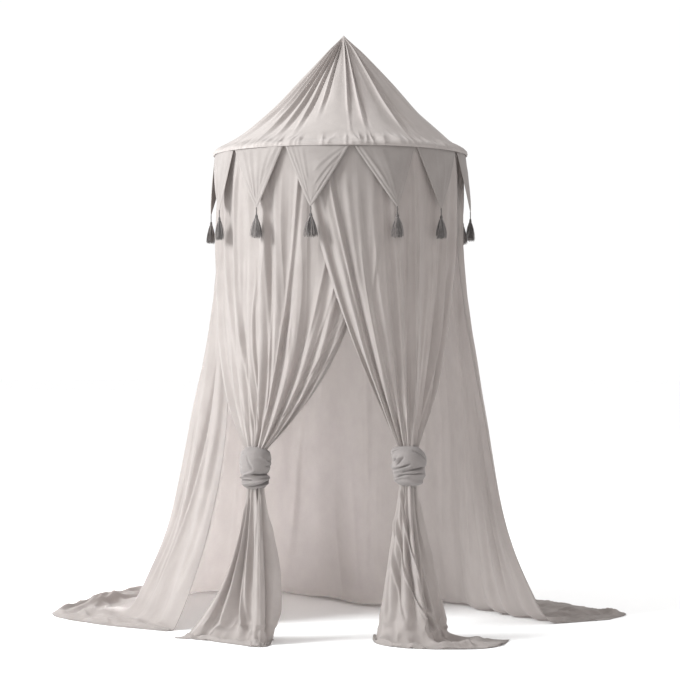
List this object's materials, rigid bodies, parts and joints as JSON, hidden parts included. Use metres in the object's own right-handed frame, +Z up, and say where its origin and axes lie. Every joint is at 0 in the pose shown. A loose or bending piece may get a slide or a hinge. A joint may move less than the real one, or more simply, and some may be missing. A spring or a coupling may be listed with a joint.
{
  "type": "mosquito net canopy with hoop",
  "caption": "Hanging bed canopy of fine cotton voile: a pleated cone roof over a hoop, pennants with tassels, knotted front curtains and long sheets trailing on the floor.",
  "frame": {"origin": "the tip of the cone roof, the point that the canopy hangs from; the floor is 2.39 m below it", "axes": "+Z up, -Y towards the front with the door between the knotted curtains, +X to the right of someone looking at the front"},
  "size_m": [2.4103, 1.6976, 2.3889],
  "materials": {
    "voile": "matt woven cotton voile, warm pale grey",
    "pennant": "matt woven cotton voile, two layers, warm grey",
    "tassel": "matt cotton yarn, dark warm grey",
    "hoop": "satin off-white paint on steel wire"
  },
  "bodies": {
    "root": {"hoop": "hoop", "roof": "voile", "curtain_back": "voile", "curtain_left": "voile", "curtain_right": "voile", "pennant_01": "pennant", "pennant_02": "pennant", "pennant_03": "pennant", "pennant_04": "pennant", "pennant_05": "pennant", "pennant_06": "pennant", "pennant_07": "pennant", "pennant_08": "pennant", "pennant_09": "pennant", "pennant_10": "pennant", "pennant_11": "pennant", "pennant_12": "pennant", "tassel_01": "tassel", "tassel_02": "tassel", "tassel_03": "tassel", "tassel_04": "tassel", "tassel_05": "tassel", "tassel_06": "tassel", "tassel_07": "tassel", "tassel_08": "tassel", "tassel_09": "tassel", "tassel_10": "tassel", "tassel_11": "tassel", "tassel_12": "tassel"}
  },
  "joints": []
}
